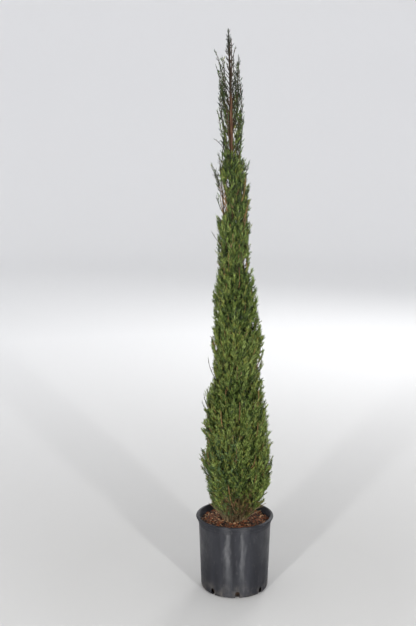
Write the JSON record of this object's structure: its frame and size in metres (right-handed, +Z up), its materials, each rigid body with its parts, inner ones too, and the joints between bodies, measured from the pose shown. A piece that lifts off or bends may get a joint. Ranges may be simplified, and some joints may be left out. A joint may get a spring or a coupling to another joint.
{
  "type": "potted italian cypress tree",
  "caption": "Slender columnar italian cypress, open and twiggy at the top and dense below, in a round black nursery pot with bark mulch.",
  "frame": {"origin": "centre of the flat underside of the pot", "axes": "+Z up along the trunk; -Y towards the side seen from the front; +X to its right"},
  "size_m": [0.284, 0.284, 2.019],
  "materials": {
    "pot": "black moulded plastic with a soft sheen, dusty at the foot",
    "mulch": "damp red-brown bark chips over peat substrate",
    "bark": "thin stringy red-brown bark",
    "foliage": "cord-like scale leaves, mid green to yellow green with brown twigs"
  },
  "bodies": {
    "root": {"pot": "pot", "mulch": "mulch", "trunk": "bark", "bough_01": "bark", "bough_02": "bark", "bough_03": "bark", "bough_04": "bark", "bough_05": "bark", "bough_06": "bark", "bough_07": "bark", "bough_08": "bark", "bough_09": "bark", "bough_10": "bark", "bough_11": "bark", "bough_12": "bark", "bough_13": "bark", "bough_14": "bark", "bough_15": "bark", "bough_16": "bark", "bough_17": "bark", "bough_18": "bark", "bough_19": "bark", "bough_20": "bark", "bough_21": "bark", "foliage_01": "foliage", "foliage_02": "foliage", "foliage_03": "foliage", "foliage_04": "foliage", "foliage_05": "foliage", "foliage_06": "foliage", "foliage_07": "foliage", "foliage_08": "foliage", "foliage_09": "foliage", "foliage_10": "foliage", "foliage_11": "foliage", "foliage_12": "foliage", "foliage_13": "foliage", "foliage_14": "foliage", "foliage_15": "foliage", "foliage_16": "foliage", "foliage_17": "foliage", "foliage_18": "foliage", "foliage_19": "foliage", "foliage_20": "foliage", "foliage_21": "foliage", "foliage_22": "foliage", "foliage_23": "foliage", "foliage_24": "foliage", "foliage_25": "foliage", "foliage_26": "foliage", "foliage_27": "foliage"}
  },
  "joints": []
}
